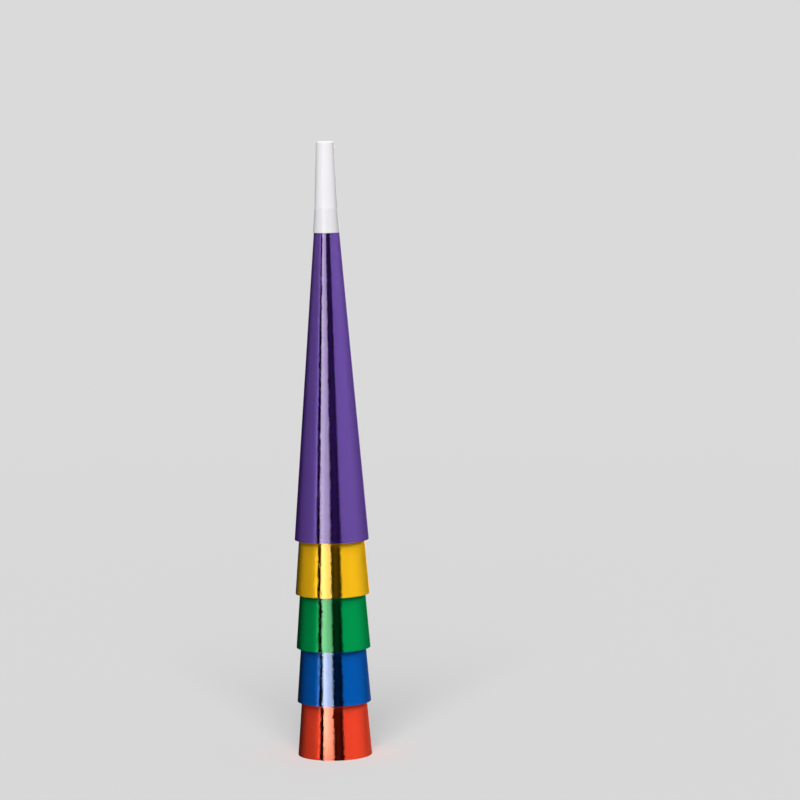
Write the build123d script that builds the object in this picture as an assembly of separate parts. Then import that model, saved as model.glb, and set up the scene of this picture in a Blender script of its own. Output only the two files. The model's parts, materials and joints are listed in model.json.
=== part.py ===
"""Nest of conical party horns, standing bell down.

Every horn is the same: a cone rolled from foil board with a lapped seam, a plastic mouthpiece of two
pieces on its narrow end, and a beating reed inside the mouthpiece. In the nest, the underside of a
horn's reed block sits on the tip of the horn inside it.

Millimetres. +Z is up, from the bells to the mouthpieces. The origin is the centre of the lowest
horn's bell rim, on the surface that the nest stands on, and the front of the nest faces -Y.
A depth is measured down from a horn's own tip, and a height up from its own bell rim.
"""

import math
import os

from build123d import *

# The nest, from the lowest horn to the highest: each horn's colour, and its turn in degrees
HORN_TURNS = {"red": 0, "blue": 21, "green": -14, "gold": 9, "purple": -6}
NEST_GAP = 0.3  # radial gap between one mouthpiece and the one nested in it

# Horn and cone
HORN_LENGTH = 228.6
BELL_DIAMETER = 42.5
BOARD = 0.4
LAP_ANGLE = 24

# Mouthpiece tube
TIP_DIAMETER = 10.1
TUBE_LENGTH = 38.2
TUBE_WALL = 0.9
MOUTH_LAND = 5.0  # straight stretch of bore at the tip
LIP_ROUND = 0.6  # outside the tip
BORE_ROUND = 0.2  # inside the tip
SOCKET_LENGTH = 3.0  # at the tube's foot, for the collar's spigot
SEAT_RISE = 3.8  # from the socket up to the seat, where the reed block ends and a nested tip stops

# Collar, which joins the tube to the cone
COLLAR_LENGTH = 13.8
SHOULDER_LEDGE = 0.35  # from the cone's end out to the shoulder's edge
PLUG_LENGTH = 6.0
PLUG_WALL = 0.4
EDGE_BREAK = 0.15
JOINT_GAP = 0.03  # radial gap in a glued or pushed joint

# Reed block: a flange that wedges in the tube, and a shallot with a flat face and a channel
FLANGE_LENGTH = 5.4
SHALLOT_LENGTH = 17.0
SHALLOT_GAP = 1.1  # radial room for air between the shallot and the mouth's bore
SHALLOT_ROUND = 0.6
FLAT_OFFSET = 0.5  # from the axis to the flat that the reed beats on
CHANNEL_OFFSET = 0.4  # from the axis, away from the flat
CHANNEL_WALL = 0.8
CHANNEL_END_WALL = 1.5

# Reed and the ring that clamps its root
REED_MARGIN = 0.75  # from each edge of the flat to the reed
REED_THICKNESS = 0.2
REED_SET = 3.0  # degrees that the tongue stands open at rest
REED_SETBACK = 0.5  # from the shallot's end to the reed's tip
REED_PLAY = 0.1  # gap on each side of the clamped root
RING_LENGTH = 3.0
RING_GAP = 0.6  # radial gap between the ring and the tube

# Worked out from the sizes above
SEAT_DEPTH = TUBE_LENGTH - SOCKET_LENGTH - SEAT_RISE
NEST_PITCH = SEAT_DEPTH
TIP_RADIUS = TIP_DIAMETER / 2
MOUTH_RADIUS = TIP_RADIUS - TUBE_WALL
MOUTHPIECE_LENGTH = TUBE_LENGTH + COLLAR_LENGTH
CONE_LENGTH = HORN_LENGTH - MOUTHPIECE_LENGTH
SPIGOT_WALL = (TUBE_WALL - JOINT_GAP) / 2
SHALLOT_RADIUS = MOUTH_RADIUS - SHALLOT_GAP
CHANNEL_RADIUS = SHALLOT_RADIUS - CHANNEL_OFFSET - CHANNEL_WALL
REED_WIDTH = 2 * (math.sqrt(SHALLOT_RADIUS**2 - FLAT_OFFSET**2) - REED_MARGIN)
FLANGE_TOP = HORN_LENGTH - SEAT_DEPTH + FLANGE_LENGTH
RING_TOP = FLANGE_TOP + RING_LENGTH
UPRIGHT = (Align.CENTER, Align.CENTER, Align.MIN)


def tube_radius(depth):
    """Outside of the mouthpiece tube, which widens by a wall and a gap in a pitch, so that tubes nest."""
    return TIP_RADIUS + (TUBE_WALL + NEST_GAP) * depth / NEST_PITCH


def nest_bore(depth):
    """Bore that clears the tube of the nested horn, whose tip is one pitch lower."""
    return tube_radius(depth - NEST_PITCH) + NEST_GAP


def reed_bore(depth):
    """Bore of the tube between its straight mouth and the reed block's seat."""
    share = (depth - MOUTH_LAND) / (SEAT_DEPTH - MOUTH_LAND)
    return MOUTH_RADIUS + share * (nest_bore(SEAT_DEPTH) - MOUTH_RADIUS)


PLUG_RADIUS = nest_bore(MOUTHPIECE_LENGTH + PLUG_LENGTH) + PLUG_WALL
NECK_INNER = PLUG_RADIUS + JOINT_GAP
NECK_RADIUS = NECK_INNER + BOARD
BELL_INNER = BELL_DIAMETER / 2 - BOARD


def turned(outline):
    """Solid of revolution about the horn's axis, from (radius, depth) points."""
    points = [(radius, HORN_LENGTH - depth) for radius, depth in outline]
    return revolve(Plane.XZ * make_face(Polyline(*points, close=True)), Axis.Z)


def outer_edge(piece, depth):
    """Outermost edge of a turned piece at a depth."""
    height = HORN_LENGTH - depth
    return piece.edges().filter_by_position(Axis.Z, height, height).sort_by(SortBy.RADIUS)[-1]


def cone_sector(shift, start, angle):
    """Sector of the cone's wall, moved outward by shift, from a start angle about the axis."""
    wall = Polyline(
        (BELL_INNER + shift, 0),
        (BELL_INNER + shift + BOARD, 0),
        (NECK_INNER + shift + BOARD, CONE_LENGTH),
        (NECK_INNER + shift, CONE_LENGTH),
        close=True,
    )
    return Rot(0, 0, start) * revolve(Plane.XZ * make_face(wall), Axis.Z, angle)


def cone():
    """Foil board rolled up as a spiral: the sheet climbs one board in a turn and laps its start.

    The first half turn is about the horn's axis. The second is about an axis half a board further
    back, so that it meets the first one smoothly in front and lies on top of it at the back.
    """
    back_angle, front_angle = 90, 270
    first_half = cone_sector(0, back_angle, 180)
    second_half = Pos(0, BOARD / 2, 0) * cone_sector(BOARD / 2, front_angle, 180)
    lap = cone_sector(BOARD, back_angle, LAP_ANGLE)
    return first_half + second_half + lap


def mouthpiece():
    """Tapered tube with a rounded lip, a bore for the reed block and a socket at its foot."""
    socket_top = TUBE_LENGTH - SOCKET_LENGTH
    lap_wall = SPIGOT_WALL + JOINT_GAP
    tube = turned(
        [
            (TIP_RADIUS, 0),
            (tube_radius(TUBE_LENGTH), TUBE_LENGTH),
            (nest_bore(TUBE_LENGTH) + lap_wall, TUBE_LENGTH),
            (nest_bore(socket_top) + lap_wall, socket_top),
            (nest_bore(socket_top), socket_top),
            (nest_bore(SEAT_DEPTH), SEAT_DEPTH),
            (MOUTH_RADIUS, MOUTH_LAND),
            (MOUTH_RADIUS, 0),
        ]
    )
    tube = chamfer(outer_edge(tube, TUBE_LENGTH), EDGE_BREAK)
    bore_edge = tube.edges().group_by(Axis.Z)[-1].sort_by(SortBy.RADIUS)[0]
    tube = fillet(bore_edge, min(BORE_ROUND, 0.25 * TUBE_WALL))
    return fillet(outer_edge(tube, 0), min(LIP_ROUND, 0.7 * TUBE_WALL))


def collar():
    """Ring with a spigot up into the tube, a shoulder over the cone's end and a plug inside it."""
    spigot_top = TUBE_LENGTH - SOCKET_LENGTH + JOINT_GAP
    plug_end = MOUTHPIECE_LENGTH + PLUG_LENGTH
    ring = turned(
        [
            (nest_bore(spigot_top), spigot_top),
            (nest_bore(spigot_top) + SPIGOT_WALL, spigot_top),
            (nest_bore(TUBE_LENGTH) + SPIGOT_WALL, TUBE_LENGTH),
            (tube_radius(TUBE_LENGTH), TUBE_LENGTH),
            (NECK_RADIUS + SHOULDER_LEDGE, MOUTHPIECE_LENGTH),
            (PLUG_RADIUS, MOUTHPIECE_LENGTH),
            (PLUG_RADIUS, plug_end),
            (nest_bore(plug_end), plug_end),
        ]
    )
    shoulder = [outer_edge(ring, TUBE_LENGTH), outer_edge(ring, MOUTHPIECE_LENGTH)]
    return chamfer(shoulder, EDGE_BREAK)


def beyond_flat(offset):
    """Block above the flange that fills the tube beyond an offset from the axis along +Y."""
    side = 2 * tube_radius(TUBE_LENGTH)
    return Pos(0, offset, FLANGE_TOP) * Box(
        side, side, SHALLOT_LENGTH, align=(Align.CENTER, Align.MIN, Align.MIN)
    )


def reed_block():
    """Wedged flange and D-section shallot, with an air channel that opens through the flat."""
    flange_depth = SEAT_DEPTH - FLANGE_LENGTH
    flange = turned(
        [
            (0, SEAT_DEPTH),
            (reed_bore(SEAT_DEPTH) - JOINT_GAP, SEAT_DEPTH),
            (reed_bore(flange_depth) - JOINT_GAP, flange_depth),
            (0, flange_depth),
        ]
    )
    shallot = Pos(0, 0, FLANGE_TOP) * Cylinder(SHALLOT_RADIUS, SHALLOT_LENGTH, align=UPRIGHT)
    shallot = fillet(shallot.edges().group_by(Axis.Z)[-1], SHALLOT_ROUND)
    channel_length = FLANGE_LENGTH + SHALLOT_LENGTH - CHANNEL_END_WALL
    channel = Pos(0, -CHANNEL_OFFSET, HORN_LENGTH - SEAT_DEPTH) * Cylinder(
        CHANNEL_RADIUS, channel_length, align=UPRIGHT
    )
    return flange + (shallot - beyond_flat(FLAT_OFFSET)) - channel


def reed_ring():
    """Clamp ring on the flange, with a D-shaped hole for the shallot and the reed's root."""
    slot = REED_THICKNESS + 2 * REED_PLAY
    outer_radius = reed_bore(HORN_LENGTH - RING_TOP) - RING_GAP
    ring = Cylinder(outer_radius, RING_LENGTH, align=UPRIGHT)
    hole = Cylinder(SHALLOT_RADIUS + JOINT_GAP, RING_LENGTH, align=UPRIGHT)
    place = Pos(0, 0, FLANGE_TOP)
    return place * ring - (place * hole - beyond_flat(FLAT_OFFSET + slot))


def reed():
    """Springy strip: a root that lies along the flat under the ring, and a tongue set open."""
    inner = FLAT_OFFSET + REED_PLAY
    outer = inner + REED_THICKNESS
    root_end = FLANGE_TOP + REED_PLAY
    tongue_length = SHALLOT_LENGTH - REED_SETBACK - RING_LENGTH
    along = Vector(0, tongue_length).rotate(Axis.Z, -REED_SET)
    side = Polyline(
        (inner, root_end),
        (inner, RING_TOP),
        (inner + along.X, RING_TOP + along.Y),
        (outer + along.X, RING_TOP + along.Y),
        (outer, RING_TOP),
        (outer, root_end),
        close=True,
    )
    return extrude(Plane.YZ * make_face(side), REED_WIDTH / 2, both=True)


def main():
    os.makedirs("parts", exist_ok=True)
    pieces = {
        "cone": cone(),
        "mouthpiece": mouthpiece(),
        "collar": collar(),
        "reed_block": reed_block(),
        "reed_ring": reed_ring(),
        "reed": reed(),
    }
    for level, (colour, turn) in enumerate(HORN_TURNS.items()):
        place = Pos(0, 0, level * NEST_PITCH) * Rot(0, 0, turn)
        for name, piece in pieces.items():
            export_step(place * piece, f"parts/{colour}_{name}.step")


main()
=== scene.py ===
"""Looks of the nest of party horns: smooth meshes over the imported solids, materials, studio and camera.

Metres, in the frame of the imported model: +Z is up and the nest's front faces -Y. A depth is measured
down from a horn's own tip. Angles are in degrees. An azimuth is about +Z, from the front and on towards +X.
"""

import json
import math

import bpy
from mathutils import Matrix, Vector

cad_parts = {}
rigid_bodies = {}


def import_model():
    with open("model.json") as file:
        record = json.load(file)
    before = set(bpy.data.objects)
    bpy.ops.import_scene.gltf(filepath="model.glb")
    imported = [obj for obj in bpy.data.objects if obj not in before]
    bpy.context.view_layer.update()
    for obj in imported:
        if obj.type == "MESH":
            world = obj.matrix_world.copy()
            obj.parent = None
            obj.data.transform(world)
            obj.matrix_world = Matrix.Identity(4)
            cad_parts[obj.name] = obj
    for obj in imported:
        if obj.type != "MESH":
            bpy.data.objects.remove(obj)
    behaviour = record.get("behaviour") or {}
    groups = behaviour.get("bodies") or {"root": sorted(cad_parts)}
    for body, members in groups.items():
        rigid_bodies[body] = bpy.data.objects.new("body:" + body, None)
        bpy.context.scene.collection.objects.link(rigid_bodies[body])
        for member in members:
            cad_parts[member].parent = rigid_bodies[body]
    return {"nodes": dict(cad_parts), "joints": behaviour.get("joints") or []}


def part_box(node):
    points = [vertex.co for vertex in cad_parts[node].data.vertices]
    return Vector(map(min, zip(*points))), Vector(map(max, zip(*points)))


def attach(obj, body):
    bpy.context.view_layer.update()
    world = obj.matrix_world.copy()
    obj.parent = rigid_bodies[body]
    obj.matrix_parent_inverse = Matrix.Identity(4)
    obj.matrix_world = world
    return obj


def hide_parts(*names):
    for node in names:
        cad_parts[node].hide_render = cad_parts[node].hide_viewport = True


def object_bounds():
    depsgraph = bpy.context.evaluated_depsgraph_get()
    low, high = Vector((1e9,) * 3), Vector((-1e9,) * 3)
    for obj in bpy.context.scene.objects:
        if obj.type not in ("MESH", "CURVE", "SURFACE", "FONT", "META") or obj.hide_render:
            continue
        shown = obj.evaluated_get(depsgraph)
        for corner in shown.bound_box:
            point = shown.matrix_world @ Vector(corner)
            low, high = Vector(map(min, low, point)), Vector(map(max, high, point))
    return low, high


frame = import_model()
cad_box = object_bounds()

# Azimuths of the sides
FRONT = 0
RIGHT = 90
BACK = 180

# Foil of each horn, from the lowest to the highest: colour of its film and weight of the lacquer on it. One
# lacquer is tinted, and one film has a pigment that shows where it mirrors nothing.
FOILS = {
    "red": {"colour": (0.94, 0.066, 0.0262), "lacquer": 0.82, "tint": (1.0, 1.0, 0.78)},
    "blue": {"colour": (0.0, 0.104, 0.462), "lacquer": 1.0},
    "green": {"colour": (0.0, 0.311, 0.078), "lacquer": 0.36},
    "gold": {"colour": (0.96, 0.53, 0.011), "lacquer": 0.47},
    "purple": {"colour": (0.145, 0.083, 0.327), "lacquer": 0.5, "pigment": (0.24, 0.0, 0.68)},
}
FILM_ROUGHNESS = (0.22, 0.23)
FILM_GRAIN = 0.9  # how far its roughness is drawn out along the horn
CLOUD_SHADE = 0.95  # darkest of the faint clouds in the film
PIGMENT_SHARE = 0.1
LACQUER_ROUGHNESS = 0.05
LACQUER_INDEX = 1.7  # of refraction
EDGE_GLOSS = 0.12  # most that the lacquer mirrors, at the horn's edges
CREASE = 0.00055  # length of the foil's fine creases
CREASE_TILT = 0.045  # slope that they give it, round the horn

# Plastics: ends of the flow pattern's range of colour, middle roughness and gloss
PLASTICS = {
    "white_plastic": {
        "dark": (0.79, 0.777, 0.803),
        "light": (0.83, 0.816, 0.842),
        "roughness": 0.3,
        "gloss": 0.2,
    },
    "glossy_white_plastic": {
        "dark": (0.745, 0.732, 0.755),
        "light": (0.775, 0.762, 0.785),
        "roughness": 0.18,
        "gloss": 0.27,
    },
    "reed_block_plastic": {
        "dark": (0.76, 0.76, 0.72),
        "light": (0.82, 0.82, 0.79),
        "roughness": 0.42,
        "gloss": 0.2,
    },
}
FLOW_ROUGHNESS = 0.03  # change of roughness in the flow pattern, either way

# Board and reed film
BOARD_DARK = (0.62, 0.60, 0.55)
BOARD_LIGHT = (0.74, 0.72, 0.68)
BOARD_ROUGHNESS = (0.78, 0.92)
REED_DARK = (0.70, 0.53, 0.24)
REED_LIGHT = (0.80, 0.64, 0.32)
REED_ROUGHNESS = (0.18, 0.30)

# Shader nodes: the range that most noise is in, and the Mix node's sockets for colours, which have the same
# names as its sockets for other data
NOISE_LOW = 0.3
NOISE_HIGH = 0.7
MIX_FIRST = 6
MIX_SECOND = 7
MIX_RESULT = 2

# Cone
BELL_DIAMETER = 0.0425
BOARD = 0.0004
SEAM_ANGLE = 90  # from +X, which puts the seam at the back
LAP_ANGLE = 24

# Mouthpiece tube and collar
TIP_DIAMETER = 0.0101
TUBE_WALL = 0.0009
MOUTH_LAND = 0.005
LIP_ROUND = 0.0006  # outside the tip
BORE_ROUND = 0.0002  # inside the tip
SOCKET_LENGTH = 0.003
SHOULDER_LEDGE = 0.00035
PLUG_LENGTH = 0.006
PLUG_WALL = 0.0004
EDGE_BREAK = 0.00015
JOINT_GAP = 0.00003
NEST_GAP = 0.0003

# Fineness of the meshes
CONE_STEP = 2  # degrees
CONE_ROWS = 24
LATHE_STEPS = 180
ARC_STEPS = 6
SHARP_ANGLE = 28

# Camera in front, which looks slightly down on the nest and is fitted to the photograph
CAMERA_DISTANCE = 2.0
CAMERA_HEIGHT = 0.4002
CAMERA_PITCH = -5.563
CAMERA_YAW = 1.165
CAMERA_ROLL = -0.855
CAMERA_LENS = 157.42  # millimetres
SENSOR_WIDTH = 36  # millimetres

# Floor, backdrop and lights
FLOOR_PAINT = 0.5
FLOOR_RINGS = (0.1, 0.3, 1)  # as shares of the flat part's radius
FLOOR_FADE = (0.7, 1.8)  # distances over which the floor's shading gives way to the backdrop's
BACKDROP_LEVEL = 0.70
BACKDROP_RADIUS = 6.0
BACKDROP_BEND = 2.0
BACKDROP_HEIGHT = 5.0
WORLD_LEVEL = 0.36
LIGHT_ELEVATION = 38
LIGHT_SPREAD = 35
KEY_AZIMUTH = -2
KEY_POWER = 2.9
FILL_AZIMUTH = 172
FILL_POWER = 2.3

# Screens that the foil mirrors to someone in front and someone behind. A stop of the levels is an azimuth
# on the foil, from the middle of that side, and the level of the light that is mirrored there. A stop of
# the shares is a tilt of the foil, and the share of that level in the light that is mirrored at that tilt.
VIEW_ELEVATION = 6
SCREEN_STEP = 3  # degrees
FRONT_SCREEN_RADIUS = 5.1
FRONT_LEVELS = [
    (-79, 0.1),
    (-71, 0.1),
    (-53, 0.45),
    (-37, 0.56),
    (-28.8, 0.8),
    (-27.2, 1.45),
    (-25.0, 1.45),
    (-24.8, 0.0),
    (-18.2, 0.0),
    (-18.0, 0.1),
    (-9, 0.45),
    (-2.1, 0.5),
    (-1.9, 0.03),
    (2, 0.04),
    (5, 0.1),
    (10, 0.04),
    (14.8, 0.03),
    (15, 1.0),
    (42, 1.0),
    (66, 0.6),
    (79, 0.5),
]
BACK_SCREEN_RADIUS = 5.2
BACK_LEVELS = [
    (-45, 0.9),
    (-22, 0.8),
    (-15, 0.7),
    (-14.5, 0.0),
    (-11, 0.0),
    (-10.5, 0.7),
    (-1, 0.7),
    (-0.5, 0.03),
    (9, 0.03),
    (9.5, 0.7),
    (20, 0.8),
    (45, 0.8),
]
SCREEN_SHARES = [
    (-43, 0.6),
    (-8, 0.6),
    (-3, 0.03),
    (9.5, 0.03),
    (13, 0.3),
    (18, 1.35),
    (24, 4.6),
    (38, 5.9),
    (40, 1.0),
    (43, 1.0),
]

# Strip lights before the screens, of a warm white
STRIP_COLOUR = (1.0, 0.97, 0.85)
STRIP_RADIUS = 5.0
FRONT_STRIP = [
    (-27.2, 0.0),
    (-27.0, 1.3),
    (-25.2, 1.3),
    (-25.0, 0.0),
    (-18.2, 0.0),
    (-18.0, 11.0),
    (-13, 9.0),
    (-7.5, 5.3),
    (-6, 6.1),
    (-4.5, 4.6),
    (-2.1, 5.5),
]
BACK_STRIP = [
    (-10.5, 3.2),
    (-8, 2.4),
    (-3, 2.4),
    (-1, 3.2),
]
STRIP_SHARES = [
    (-15, 0.05),
    (-2, 0.12),
    (0.5, 0.12),
    (1, 1),
    (7, 1),
    (7.5, 0.05),
    (15, 0.05),
]

# Sizes read from the frame, and what follows from them
cone_low, cone_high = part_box("red_cone")
tube_low, tube_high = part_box("red_mouthpiece")
NEST_HEIGHT = cad_box[1][2]
NEST_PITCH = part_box("blue_cone")[0].z - cone_low.z
CONE_LENGTH = cone_high.z - cone_low.z
HORN_LENGTH = tube_high.z - cone_low.z
TUBE_LENGTH = tube_high.z - tube_low.z
MOUTHPIECE_LENGTH = HORN_LENGTH - CONE_LENGTH
SEAT_DEPTH = NEST_PITCH  # where the tip of the nested horn bears
TIP_RADIUS = TIP_DIAMETER / 2
MOUTH_RADIUS = TIP_RADIUS - TUBE_WALL
SPIGOT_WALL = (TUBE_WALL - JOINT_GAP) / 2


def tube_radius(depth):
    """Outside of the mouthpiece tube."""
    return TIP_RADIUS + (TUBE_WALL + NEST_GAP) * depth / NEST_PITCH


def nest_bore(depth):
    """Bore that clears the tube of the nested horn, whose tip is one pitch lower."""
    return tube_radius(depth - NEST_PITCH) + NEST_GAP


PLUG_RADIUS = nest_bore(MOUTHPIECE_LENGTH + PLUG_LENGTH) + PLUG_WALL
NECK_INNER = PLUG_RADIUS + JOINT_GAP
SHOULDER_RADIUS = NECK_INNER + BOARD + SHOULDER_LEDGE
BELL_INNER = BELL_DIAMETER / 2 - BOARD


def new_material(name):
    """Material without nodes."""
    material = bpy.data.materials.new(name)
    material.use_nodes = True
    material.node_tree.nodes.clear()
    return material


def add_node(material, kind, inputs=None, **settings):
    """Shader node with its settings, and with its inputs set to values or linked to outputs."""
    node = material.node_tree.nodes.new("ShaderNode" + kind)
    for name, value in settings.items():
        setattr(node, name, value)
    for name, value in (inputs or {}).items():
        if isinstance(value, bpy.types.NodeSocket):
            material.node_tree.links.new(value, node.inputs[name])
        else:
            node.inputs[name].default_value = value
    return node


def finish_material(material, shader):
    """Material with the shader as its surface."""
    add_node(material, "OutputMaterial", {"Surface": shader.outputs[0]})
    return material


def mixed(material, share, first, second):
    """Shader that gives way from the first to the second as the share rises from 0 to 1."""
    return add_node(material, "MixShader", {0: share, 1: first.outputs[0], 2: second.outputs[0]})


def noise(material, size, detail=2.0, stretch=(1, 1, 1)):
    """Noise over the object with features of a size in metres, drawn out by the stretch."""
    place = add_node(material, "TexCoord").outputs["Object"]
    scale = [1 / (size * factor) for factor in stretch]
    mapped = add_node(material, "Mapping", {"Vector": place, "Scale": scale}).outputs[0]
    return add_node(material, "TexNoise", {"Vector": mapped, "Scale": 1.0, "Detail": detail}).outputs[0]


def ranged(material, value, low, high):
    """A noise value brought into a range."""
    limits = {"From Min": NOISE_LOW, "From Max": NOISE_HIGH, "To Min": low, "To Max": high}
    return add_node(material, "MapRange", {"Value": value, **limits}).outputs[0]


def tinted(material, value, dark, light):
    """Colour between two, by a noise value."""
    colours = {MIX_FIRST: (*dark, 1), MIX_SECOND: (*light, 1)}
    return add_node(material, "Mix", {0: value, **colours}, data_type="RGBA").outputs[MIX_RESULT]


def bump(material, height, depth):
    """Surface normal over a relief of a depth in metres."""
    return add_node(material, "Bump", {"Height": height, "Distance": depth}).outputs[0]


def creased(material, tangent):
    """Surface normal that fine creases turn to and fro along the tangent."""
    creases = noise(material, size=CREASE, detail=1.0, stretch=(1.5, 1.5, 1))
    slope = ranged(material, creases, low=-CREASE_TILT, high=CREASE_TILT)
    lean = add_node(material, "VectorMath", {0: tangent, "Scale": slope}, operation="SCALE").outputs[0]
    upright = add_node(material, "NewGeometry").outputs["Normal"]
    total = add_node(material, "VectorMath", {0: upright, 1: lean}, operation="ADD").outputs[0]
    return add_node(material, "VectorMath", {0: total}, operation="NORMALIZE").outputs[0]


def foil_material(name, colour, lacquer, tint=(1, 1, 1), pigment=None):
    """Bright metal film under a lacquer that mirrors more at a slant.

    Rolling has drawn the film's grain out, so it blurs reflections along the horn only.
    """
    material = new_material(name)
    tangent = add_node(material, "Tangent", direction_type="RADIAL", axis="Z").outputs[0]
    normal = creased(material, tangent)
    cloud = noise(material, size=0.02, stretch=(1, 1, 4))
    shaded = [channel * CLOUD_SHADE for channel in colour]
    film = add_node(
        material,
        "BsdfAnisotropic",
        {
            "Color": tinted(material, cloud, shaded, colour),
            "Roughness": ranged(material, cloud, *FILM_ROUGHNESS),
            "Anisotropy": FILM_GRAIN,
            "Normal": normal,
            "Tangent": tangent,
        },
    )
    if pigment:
        matt = add_node(material, "BsdfAnisotropic", {"Color": (*pigment, 1), "Roughness": 1.0})
        film = mixed(material, PIGMENT_SHARE, film, matt)
    gloss = add_node(
        material,
        "BsdfAnisotropic",
        {"Color": (*tint, 1), "Roughness": LACQUER_ROUGHNESS, "Normal": normal},
    )
    fresnel = add_node(material, "Fresnel", {"IOR": LACQUER_INDEX, "Normal": normal}).outputs[0]
    limited = add_node(material, "Math", {0: fresnel, 1: EDGE_GLOSS}, operation="MINIMUM").outputs[0]
    share = add_node(material, "Math", {0: limited, 1: lacquer}, operation="MULTIPLY").outputs[0]
    return finish_material(material, mixed(material, share, film, gloss))


def board_material():
    """Pale pulp board, on the inside of the cones and along their cut edges."""
    material = new_material("board")
    fibres = noise(material, size=0.0006, detail=4.0, stretch=(1, 1, 3))
    mottle = noise(material, size=0.006, detail=3.0)
    shader = add_node(
        material,
        "BsdfPrincipled",
        {
            "Base Color": tinted(material, mottle, BOARD_DARK, BOARD_LIGHT),
            "Roughness": ranged(material, fibres, *BOARD_ROUGHNESS),
            "Normal": bump(material, fibres, depth=0.00004),
        },
    )
    return finish_material(material, shader)


def plastic_material(name, dark, light, roughness, gloss):
    """Moulded plastic with a faint flow pattern, and some light passing into it."""
    material = new_material(name)
    flow = noise(material, size=0.004, stretch=(1, 1, 6))
    grain = noise(material, size=0.0004, detail=1.0)
    shader = add_node(
        material,
        "BsdfPrincipled",
        {
            "Base Color": tinted(material, flow, dark, light),
            "Roughness": ranged(material, flow, roughness - FLOW_ROUGHNESS, roughness + FLOW_ROUGHNESS),
            "Normal": bump(material, grain, depth=0.000002),
            "Specular IOR Level": gloss,
            "Subsurface Weight": 0.25,
            "Subsurface Radius": (1.0, 1.0, 1.0),
            "Subsurface Scale": 0.0006,
        },
    )
    return finish_material(material, shader)


def reed_material():
    """Amber plastic film, rubbed slightly along the strip."""
    material = new_material("reed_film")
    streaks = noise(material, size=0.0005, stretch=(1, 1, 12))
    shader = add_node(
        material,
        "BsdfPrincipled",
        {
            "Base Color": tinted(material, streaks, REED_DARK, REED_LIGHT),
            "Roughness": ranged(material, streaks, *REED_ROUGHNESS),
            "Normal": bump(material, streaks, depth=0.000003),
        },
    )
    return finish_material(material, shader)


def mesh_object(name, points, faces, face_materials, materials):
    """Smooth mesh with sharp edges kept, and a material for each face."""
    mesh = bpy.data.meshes.new(name)
    mesh.from_pydata(points, [], faces)
    for material in materials:
        mesh.materials.append(material)
    mesh.polygons.foreach_set("material_index", face_materials)
    mesh.polygons.foreach_set("use_smooth", [True] * len(faces))
    mesh.set_sharp_from_angle(angle=math.radians(SHARP_ANGLE))
    mesh.update()
    thing = bpy.data.objects.new(name, mesh)
    bpy.context.scene.collection.objects.link(thing)
    return thing


def rolled_point(angle, radius):
    """Point of the rolled sheet, which climbs one board in its second half turn and laps its start."""
    centre = 0
    if angle > SEAM_ANGLE + 360:
        radius += BOARD
    elif angle > SEAM_ANGLE + 180:
        centre = BOARD / 2
        radius += BOARD / 2
    turn = math.radians(angle)
    return radius * math.cos(turn), centre + radius * math.sin(turn)


def cone(name, foil, board):
    """Foil board rolled up as a spiral with a lapped seam at the back, standing on its bell."""
    angles = range(SEAM_ANGLE, SEAM_ANGLE + 360 + LAP_ANGLE + 1, CONE_STEP)
    columns = len(angles)
    points = []
    for layer in (0, BOARD):
        for row in range(CONE_ROWS + 1):
            share = row / CONE_ROWS
            radius = BELL_INNER + share * (NECK_INNER - BELL_INNER) + layer
            points += [(*rolled_point(angle, radius), share * CONE_LENGTH) for angle in angles]
    outer = columns * (CONE_ROWS + 1)
    materials = [foil, board]
    faces = []
    face_materials = []

    def add(material, *corners):
        faces.append(corners)
        face_materials.append(materials.index(material))

    for row in range(CONE_ROWS):
        for column in range(columns - 1):
            corner = row * columns + column
            above = corner + columns
            add(foil, outer + corner, outer + corner + 1, outer + above + 1, outer + above)
            add(board, corner, above, above + 1, corner + 1)
        start = row * columns
        end = start + columns - 1
        add(board, start, outer + start, outer + start + columns, start + columns)
        add(board, end, end + columns, outer + end + columns, outer + end)
    top = CONE_ROWS * columns
    for column in range(columns - 1):
        add(board, column, column + 1, outer + column + 1, outer + column)
        add(board, top + column, outer + top + column, outer + top + column + 1, top + column + 1)
    return mesh_object(name, points, faces, face_materials, materials)


def arc(centre_radius, centre_depth, radius, start, end):
    """Points of an arc of an outline; 0 degrees is outward and 90 up."""
    points = []
    for step in range(ARC_STEPS + 1):
        angle = math.radians(start + (end - start) * step / ARC_STEPS)
        outward = radius * math.cos(angle)
        upward = radius * math.sin(angle)
        points.append((centre_radius + outward, centre_depth - upward))
    return points


def turned(outline):
    """Points of an outline of (radius, height) points at each step of its turn about the axis."""
    points = []
    for step in range(LATHE_STEPS):
        turn = math.tau * step / LATHE_STEPS
        for radius, height in outline:
            points.append((radius * math.cos(turn), radius * math.sin(turn), height))
    return points


def lathe(name, outline, material):
    """Solid turned from a closed outline of (radius, depth) points, which runs counterclockwise."""
    points = turned([(radius, HORN_LENGTH - depth) for radius, depth in outline])
    count = len(outline)
    faces = []
    for step in range(LATHE_STEPS):
        this = step * count
        following = (step + 1) % LATHE_STEPS * count
        for i in range(count):
            j = (i + 1) % count
            faces.append((this + i, following + i, following + j, this + j))
    return mesh_object(name, points, faces, [0] * len(faces), [material])


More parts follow.
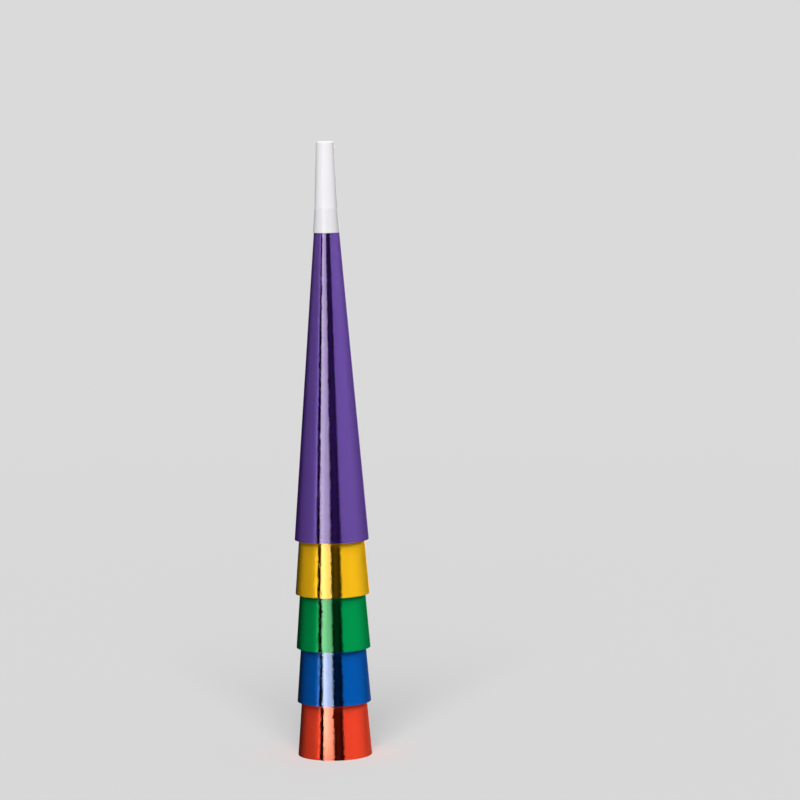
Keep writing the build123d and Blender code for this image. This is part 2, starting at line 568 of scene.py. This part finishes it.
def mouthpiece(name, material):
    """Tapered tube with a rounded lip, a bore for the reed block and a socket at its foot."""
    socket_depth = TUBE_LENGTH - SOCKET_LENGTH
    lap_wall = SPIGOT_WALL + JOINT_GAP
    outline = [
        (MOUTH_RADIUS, MOUTH_LAND),
        (nest_bore(SEAT_DEPTH), SEAT_DEPTH),
        (nest_bore(socket_depth), socket_depth),
        (nest_bore(socket_depth) + lap_wall, socket_depth),
        (nest_bore(TUBE_LENGTH) + lap_wall, TUBE_LENGTH),
        (tube_radius(TUBE_LENGTH) - EDGE_BREAK, TUBE_LENGTH),
        (tube_radius(TUBE_LENGTH), TUBE_LENGTH - EDGE_BREAK),
        *arc(TIP_RADIUS - LIP_ROUND, LIP_ROUND, LIP_ROUND, start=0, end=90),
        *arc(MOUTH_RADIUS + BORE_ROUND, BORE_ROUND, BORE_ROUND, start=90, end=180),
    ]
    return lathe(name, outline, material)


def collar(name, material):
    """Ring with a spigot up into the tube, a shoulder over the cone's end and a plug inside it."""
    spigot_top = TUBE_LENGTH - SOCKET_LENGTH + JOINT_GAP
    plug_end = MOUTHPIECE_LENGTH + PLUG_LENGTH
    outline = [
        (nest_bore(spigot_top), spigot_top),
        (nest_bore(plug_end), plug_end),
        (PLUG_RADIUS, plug_end),
        (PLUG_RADIUS, MOUTHPIECE_LENGTH),
        (SHOULDER_RADIUS - EDGE_BREAK, MOUTHPIECE_LENGTH),
        (SHOULDER_RADIUS, MOUTHPIECE_LENGTH - EDGE_BREAK),
        (tube_radius(TUBE_LENGTH), TUBE_LENGTH + EDGE_BREAK),
        (tube_radius(TUBE_LENGTH) - EDGE_BREAK, TUBE_LENGTH),
        (nest_bore(TUBE_LENGTH) + SPIGOT_WALL, TUBE_LENGTH),
        (nest_bore(spigot_top) + SPIGOT_WALL, spigot_top),
    ]
    return lathe(name, outline, material)


def horn_turns():
    """Each horn's turn about the axis, which its reed's hinge has too."""
    turns = {}
    for joint in frame["joints"]:
        if joint["type"] == "hinge":
            turns[joint["parent"]] = math.atan2(joint["axis"][1], joint["axis"][0])
    return turns


def build_horns():
    """New cones, mouthpieces and collars for the horns, and new materials for the reed units in them."""
    board = board_material()
    plastics = {name: plastic_material(name, **look) for name, look in PLASTICS.items()}
    reed_unit = {
        "reed_block": plastics["reed_block_plastic"],
        "reed_ring": plastics["reed_block_plastic"],
        "reed": reed_material(),
    }
    turns = horn_turns()
    for colour, look in FOILS.items():
        body = f"{colour}_horn"
        foil = foil_material(f"{colour}_foil", **look)
        pieces = {
            "cone": cone(f"{colour}_foil_cone", foil, board),
            "mouthpiece": mouthpiece(f"{colour}_blow_tube", plastics["white_plastic"]),
            "collar": collar(f"{colour}_white_collar", plastics["glossy_white_plastic"]),
        }
        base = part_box(f"{colour}_cone")[0].z
        place = Matrix.Translation((0, 0, base)) @ Matrix.Rotation(turns[body], 4, "Z")
        for part, piece in pieces.items():
            piece.data.transform(place)
            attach(piece, body)
            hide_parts(f"{colour}_{part}")
        for part, material in reed_unit.items():
            for slot in frame["nodes"][f"{colour}_{part}"].material_slots:
                slot.material = material


def hide_from(thing, *rays):
    """Makes an object unseen by some kinds of rays."""
    for ray in rays:
        setattr(thing, f"visible_{ray}", False)


def between(stops, step):
    """Stops of (place, level), with more put in so that none are further apart than a step."""
    filled = []
    for (start, first), (end, second) in zip(stops, stops[1:]):
        count = math.ceil((end - start) / step)
        for index in range(count):
            share = index / count
            filled.append((start + share * (end - start), first + share * (second - first)))
    return filled + [stops[-1]]


def facing(azimuth, elevation):
    """Direction at an azimuth and an elevation."""
    turn = math.radians(azimuth)
    rise = math.radians(elevation)
    reach = math.cos(rise)
    return Vector((math.sin(turn) * reach, -math.cos(turn) * reach, math.sin(rise)))


def screen(name, radius, side, levels, shares, colour=(1, 1, 1)):
    """Glowing part of a dome that only glossy surfaces show, set out by what foil mirrors to one side."""
    columns = between(levels, SCREEN_STEP)
    rows = between(shares, SCREEN_STEP)
    centre = Vector((0, 0, NEST_HEIGHT / 2))
    sight = -facing(side, VIEW_ELEVATION)
    points = []
    brightness = []
    for azimuth, level in columns:
        for tilt, share in rows:
            points.append(centre + radius * sight.reflect(facing(side + azimuth, tilt)))
            brightness.append(level * share)
    faces = []
    for column in range(len(columns) - 1):
        for row in range(len(rows) - 1):
            corner = column * len(rows) + row
            beside = corner + len(rows)
            faces.append((corner, corner + 1, beside + 1, beside))
    material = new_material(name)
    strength = add_node(material, "Attribute", attribute_name="level").outputs["Fac"]
    glow = add_node(material, "Emission", {"Color": (*colour, 1), "Strength": strength})
    finish_material(material, glow)
    material.cycles.emission_sampling = "NONE"
    panel = mesh_object(name, points, faces, [0] * len(faces), [material])
    panel.data.attributes.new("level", "FLOAT", "POINT").data.foreach_set("value", brightness)
    hide_from(panel, "camera", "diffuse", "transmission", "shadow")


def backdrop_material():
    """Pale floor that gives way to even light far from the nest, so that no horizon shows."""
    material = new_material("backdrop")
    place = add_node(material, "TexCoord").outputs["Object"]
    distance = add_node(material, "VectorMath", {0: place}, operation="LENGTH").outputs["Value"]
    near, far = FLOOR_FADE
    share = add_node(
        material,
        "MapRange",
        {"Value": distance, "From Min": near, "From Max": far},
        interpolation_type="SMOOTHSTEP",
    )
    paint = add_node(material, "BsdfDiffuse", {"Color": (FLOOR_PAINT, FLOOR_PAINT, FLOOR_PAINT, 1)})
    light = add_node(material, "Emission", {"Strength": BACKDROP_LEVEL})
    finish_material(material, mixed(material, share.outputs[0], paint, light))
    material.cycles.emission_sampling = "NONE"
    return material


def build_backdrop():
    """Floor that sweeps up into a wall all round."""
    flat_radius = BACKDROP_RADIUS - BACKDROP_BEND
    outline = [(flat_radius * ring, 0) for ring in FLOOR_RINGS]
    for step in range(1, ARC_STEPS + 1):
        angle = math.radians(90 * step / ARC_STEPS)
        radius = flat_radius + BACKDROP_BEND * math.sin(angle)
        outline.append((radius, BACKDROP_BEND * (1 - math.cos(angle))))
    outline.append((BACKDROP_RADIUS, BACKDROP_HEIGHT))
    rings = len(outline)
    faces = [tuple(step * rings for step in range(LATHE_STEPS))]
    for step in range(LATHE_STEPS):
        this = step * rings
        following = (step + 1) % LATHE_STEPS * rings
        faces += [(this + i, this + i + 1, following + i + 1, following + i) for i in range(rings - 1)]
    backdrop = mesh_object("backdrop", turned(outline), faces, [0] * len(faces), [backdrop_material()])
    hide_from(backdrop, "glossy", "diffuse", "shadow")


def build_light(name, azimuth, power, shadows):
    """Soft light from far away, which shows in no reflection."""
    light = bpy.data.lights.new(name, "SUN")
    light.energy = power
    light.angle = math.radians(LIGHT_SPREAD)
    light.use_shadow = shadows
    lamp = bpy.data.objects.new(name, light)
    lamp.rotation_euler = (math.radians(90 - LIGHT_ELEVATION), 0, math.radians(azimuth))
    hide_from(lamp, "glossy")
    bpy.context.scene.collection.objects.link(lamp)


def build_studio():
    """Even light all round, floor and backdrop, and what lights the nest and shows in the foil."""
    world = bpy.data.worlds.new("studio")
    world.use_nodes = True
    background = world.node_tree.nodes["Background"]
    background.inputs["Color"].default_value = (1, 1, 1, 1)
    background.inputs["Strength"].default_value = WORLD_LEVEL
    bpy.context.scene.world = world
    bpy.context.scene.view_settings.view_transform = "Standard"
    build_backdrop()
    screen("front_screen", FRONT_SCREEN_RADIUS, FRONT, FRONT_LEVELS, SCREEN_SHARES)
    screen("back_screen", BACK_SCREEN_RADIUS, BACK, BACK_LEVELS, SCREEN_SHARES)
    screen("front_strip", STRIP_RADIUS, FRONT, FRONT_STRIP, STRIP_SHARES, STRIP_COLOUR)
    screen("back_strip", STRIP_RADIUS, BACK, BACK_STRIP, STRIP_SHARES, STRIP_COLOUR)
    build_light("key", KEY_AZIMUTH, KEY_POWER, shadows=True)
    build_light("fill", FILL_AZIMUTH, FILL_POWER, shadows=False)


def build_camera():
    """Camera in front of the nest, turned by its yaw, pitch and roll."""
    forward = facing(BACK - CAMERA_YAW, CAMERA_PITCH)
    level = facing(RIGHT - CAMERA_YAW, 0)
    roll = math.radians(CAMERA_ROLL)
    right = math.cos(roll) * level + math.sin(roll) * level.cross(forward)
    up = right.cross(forward)
    data = bpy.data.cameras.new("camera")
    data.lens = CAMERA_LENS
    data.sensor_width = SENSOR_WIDTH
    camera = bpy.data.objects.new("camera", data)
    axes = Matrix((right, up, -forward)).transposed().to_4x4()
    camera.matrix_world = Matrix.Translation((0, -CAMERA_DISTANCE, CAMERA_HEIGHT)) @ axes
    bpy.context.scene.collection.objects.link(camera)
    bpy.context.scene.camera = camera


build_horns()
build_studio()
build_camera()
